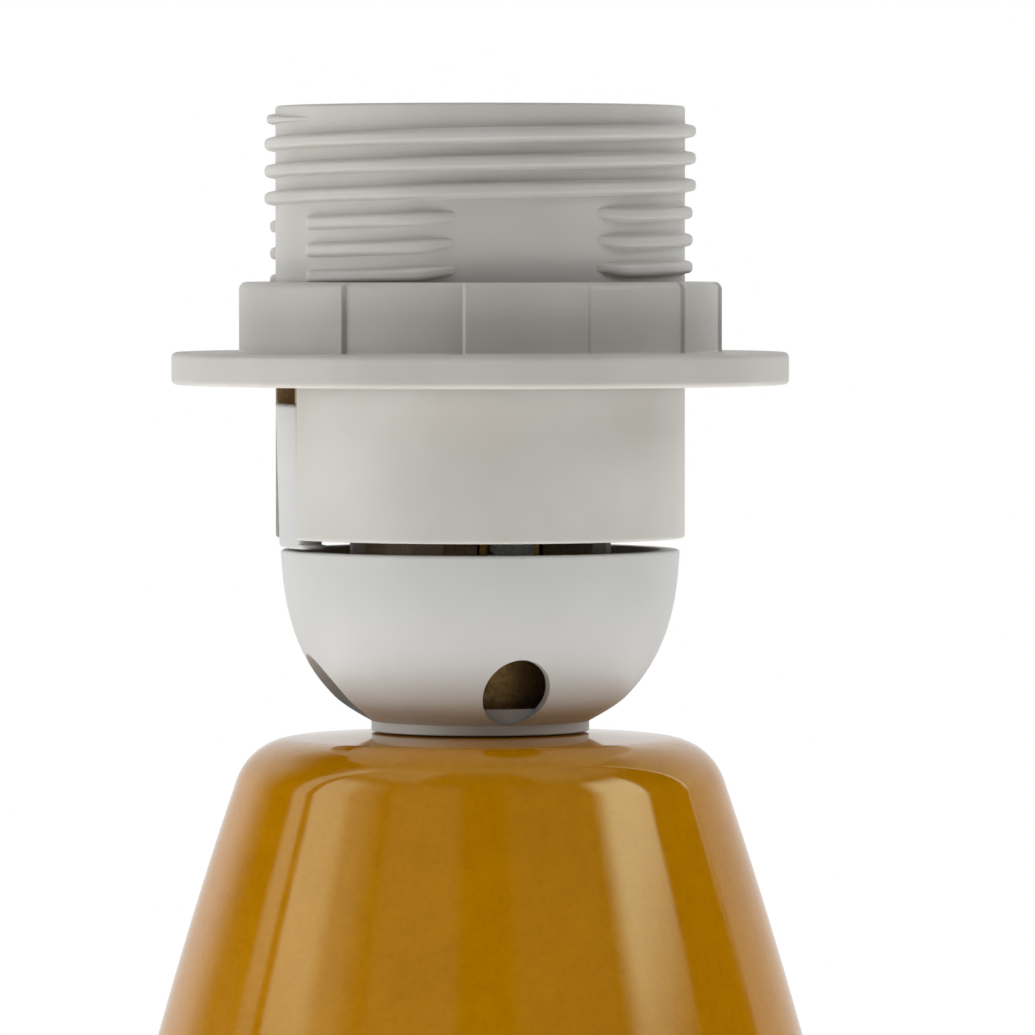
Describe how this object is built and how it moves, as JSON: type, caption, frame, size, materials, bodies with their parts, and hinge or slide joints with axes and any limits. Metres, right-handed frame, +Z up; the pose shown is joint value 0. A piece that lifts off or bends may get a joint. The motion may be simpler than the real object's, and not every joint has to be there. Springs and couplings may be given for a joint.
{
  "type": "table lamp",
  "caption": "Tapered glazed ceramic table lamp body carrying a white E27 lampholder with a shade ring on its outer thread.",
  "frame": {"origin": "middle of the felt's underside, on the surface that the lamp stands on", "axes": "+Z up, -Y front, -X towards the latch, +Y towards the cable inlet"},
  "size_m": [0.0926, 0.0926, 0.208],
  "materials": {
    "glaze": "glossy mustard glaze",
    "white_plastic": "satin moulded",
    "brown_phenolic": "moulded phenolic",
    "black_nylon": "moulded nylon",
    "zinc_steel": "zinc plated",
    "brass": "plain",
    "spring_bronze": "rolled strip",
    "fibre": "vulcanised fibre",
    "felt": "felt"
  },
  "bodies": {
    "lamp_body": {"ceramic_body": "glaze", "foot_felt": "felt", "cable_inlet": "black_nylon", "inlet_nut": "black_nylon", "threaded_tube": "zinc_steel", "fibre_washer": "fibre", "steel_washer": "zinc_steel", "tube_nut": "zinc_steel", "holder_cap": "white_plastic", "cap_bush": "zinc_steel", "grub_screw": "zinc_steel", "holder_barrel": "white_plastic", "lamp_sleeve": "brown_phenolic", "contact_base": "brown_phenolic", "terminal_live": "brass", "terminal_neutral": "brass", "terminal_screw_live": "zinc_steel", "terminal_screw_neutral": "zinc_steel", "centre_rivet": "brass", "side_rivet": "brass"},
    "ring": {"shade_ring": "white_plastic"},
    "latch": {"cap_latch": "white_plastic"},
    "centre_strip": {"centre_contact": "spring_bronze"},
    "side_strip": {"side_contact": "spring_bronze"}
  },
  "joints": [
    {"name": "ring_slide", "type": "slide", "parent": "lamp_body", "child": "ring", "axis": [0, 0, 1], "range_m": [0, 0.016]},
    {"name": "latch_flex", "type": "hinge", "parent": "lamp_body", "child": "latch", "pos_m": [-0.0176, 0, 0.16724], "axis": [0, 1, 0], "range_deg": [0, 5], "stiffness_Nm_per_rad": 1.5},
    {"name": "centre_contact_flex", "type": "hinge", "parent": "lamp_body", "child": "centre_strip", "pos_m": [0, -0.008, 0.17649], "axis": [-1, 0, 0], "range_deg": [0, 6], "stiffness_Nm_per_rad": 0.25},
    {"name": "side_contact_flex", "type": "hinge", "parent": "lamp_body", "child": "side_strip", "pos_m": [0, 0.0092, 0.17649], "axis": [-1, 0, 0], "range_deg": [0, 4], "stiffness_Nm_per_rad": 0.2}
  ]
}
